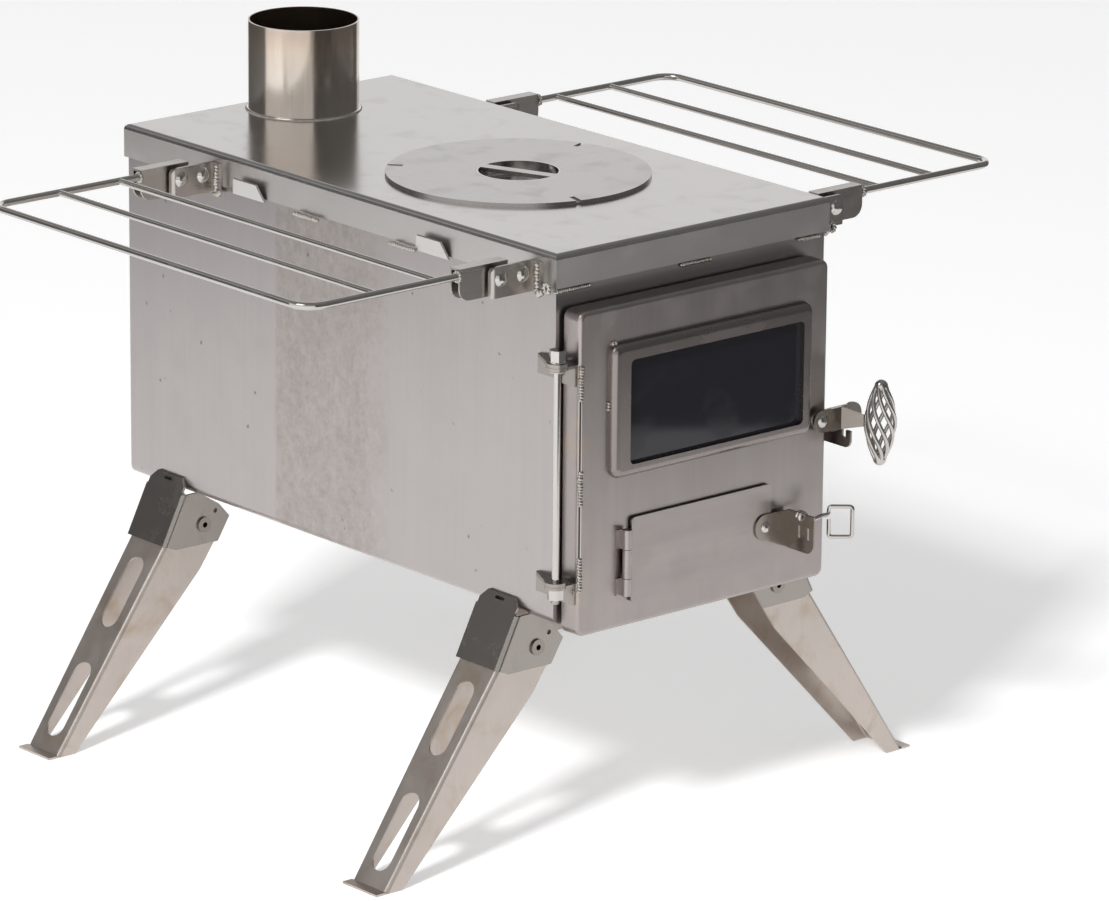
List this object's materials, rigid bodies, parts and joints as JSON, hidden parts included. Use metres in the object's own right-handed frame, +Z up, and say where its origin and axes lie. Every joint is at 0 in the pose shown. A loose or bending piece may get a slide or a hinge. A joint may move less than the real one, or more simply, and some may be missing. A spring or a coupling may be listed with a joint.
{
  "type": "tent wood stove",
  "caption": "Folding sheet-steel wood stove with glazed door, air flap, side racks, splayed folding legs, cooking lid and flue collar.",
  "frame": {"origin": "on the floor under the middle of the whole object's box", "axes": "+X to the stove's right as seen from its front, +Y to its back, +Z up"},
  "size_m": [0.5022, 0.425, 0.3995],
  "materials": {
    "cover_steel": "bright brushed stainless sheet",
    "wall_steel": "brushed stainless sheet with faint drawing marks",
    "door_steel": "brownish brushed stainless sheet",
    "leg_steel": "satin stainless sheet, warm grey",
    "dark_steel": "dark satin stainless sheet",
    "polished_steel": "polished stainless rod and wire",
    "smoked_glass": "ceramic window glass over a dark firebox",
    "gasket_rope": "woven glass-fibre tape"
  },
  "bodies": {
    "stove": {"firebox_shell": "wall_steel", "front_frame": "wall_steel", "back_panel": "wall_steel", "cover": "cover_steel", "flue_collar": "cover_steel", "baffle_plate": "dark_steel", "fire_grate": "dark_steel", "latch_keeper": "wall_steel", "body_hinge_ears": "wall_steel", "hinge_rod": "polished_steel", "hinge_nut": "polished_steel", "leg_rivets": "polished_steel", "rack_rivets_left": "polished_steel", "rack_rivets_right": "polished_steel", "bracket_front_left": "leg_steel", "bracket_rear_left": "leg_steel", "bracket_front_right": "leg_steel", "bracket_rear_right": "leg_steel", "rack_ear_front_left": "dark_steel", "rack_ear_rear_left": "dark_steel", "rack_ear_front_right": "dark_steel", "rack_ear_rear_right": "dark_steel"},
    "main_door": {"door_panel": "door_steel", "door_liner": "dark_steel", "door_gasket": "gasket_rope", "window_frame": "door_steel", "window_glass": "smoked_glass", "glass_clips": "dark_steel", "door_hinge_ears": "door_steel", "flap_hinge_leaf": "door_steel", "flap_hinge_pin": "polished_steel", "flap_catch": "door_steel", "latch_rivet": "polished_steel", "latch_washer": "polished_steel"},
    "main_latch": {"latch_lever": "door_steel", "latch_cage": "polished_steel"},
    "air_door": {"air_flap": "door_steel", "flap_rivet": "polished_steel"},
    "air_latch": {"flap_lever": "door_steel", "flap_grip": "polished_steel"},
    "rack_left": {"rack_frame_left": "polished_steel", "rack_tabs_left": "dark_steel"},
    "rack_right": {"rack_frame_right": "polished_steel", "rack_tabs_right": "dark_steel"},
    "leg_fl": {"leg_front_left": "leg_steel"},
    "leg_rl": {"leg_rear_left": "leg_steel"},
    "leg_fr": {"leg_front_right": "leg_steel"},
    "leg_rr": {"leg_rear_right": "leg_steel"},
    "lid": {"lid_plate": "cover_steel", "lid_dish": "cover_steel", "lid_grip": "cover_steel"}
  },
  "joints": [
    {"name": "main_door_hinge", "type": "hinge", "parent": "stove", "child": "main_door", "pos_m": [-0.103, -0.17053, 0.22], "axis": [0, 0, -1], "range_deg": [0, 135]},
    {"name": "main_latch_turn", "type": "hinge", "parent": "main_door", "child": "main_latch", "pos_m": [0.0806, -0.18127, 0.2263], "axis": [0, -1, 0], "range_deg": [-12, 70]},
    {"name": "air_door_hinge", "type": "hinge", "parent": "main_door", "child": "air_door", "pos_m": [-0.0615, -0.18152, 0.173], "axis": [0, 0, -1], "range_deg": [0, 115]},
    {"name": "air_latch_turn", "type": "hinge", "parent": "air_door", "child": "air_latch", "pos_m": [0.04, -0.18052, 0.173], "axis": [0, -1, 0], "range_deg": [-12, 60]},
    {"name": "rack_left_fold", "type": "hinge", "parent": "stove", "child": "rack_left", "pos_m": [-0.1216, -0.00153, 0.334], "axis": [0, 1, 0], "range_deg": [0, 130]},
    {"name": "rack_right_fold", "type": "hinge", "parent": "stove", "child": "rack_right", "pos_m": [0.1216, -0.00153, 0.334], "axis": [0, -1, 0], "range_deg": [0, 130]},
    {"name": "leg_fl_fold", "type": "hinge", "parent": "stove", "child": "leg_fl", "pos_m": [-0.0886, -0.12093, 0.1202], "axis": [0, -1, 0], "range_deg": [0, 124.6]},
    {"name": "leg_rl_fold", "type": "hinge", "parent": "stove", "child": "leg_rl", "pos_m": [-0.0886, 0.17247, 0.1202], "axis": [0, -1, 0], "range_deg": [0, 124.6]},
    {"name": "leg_fr_fold", "type": "hinge", "parent": "stove", "child": "leg_fr", "pos_m": [0.0886, -0.12093, 0.1202], "axis": [0, 1, 0], "range_deg": [0, 80]},
    {"name": "leg_rr_fold", "type": "hinge", "parent": "stove", "child": "leg_rr", "pos_m": [0.0886, 0.17247, 0.1202], "axis": [0, 1, 0], "range_deg": [0, 80]},
    {"name": "lid_lift", "type": "slide", "parent": "stove", "child": "lid", "axis": [0, 0, 1], "range_m": [0, 0.025]}
  ]
}
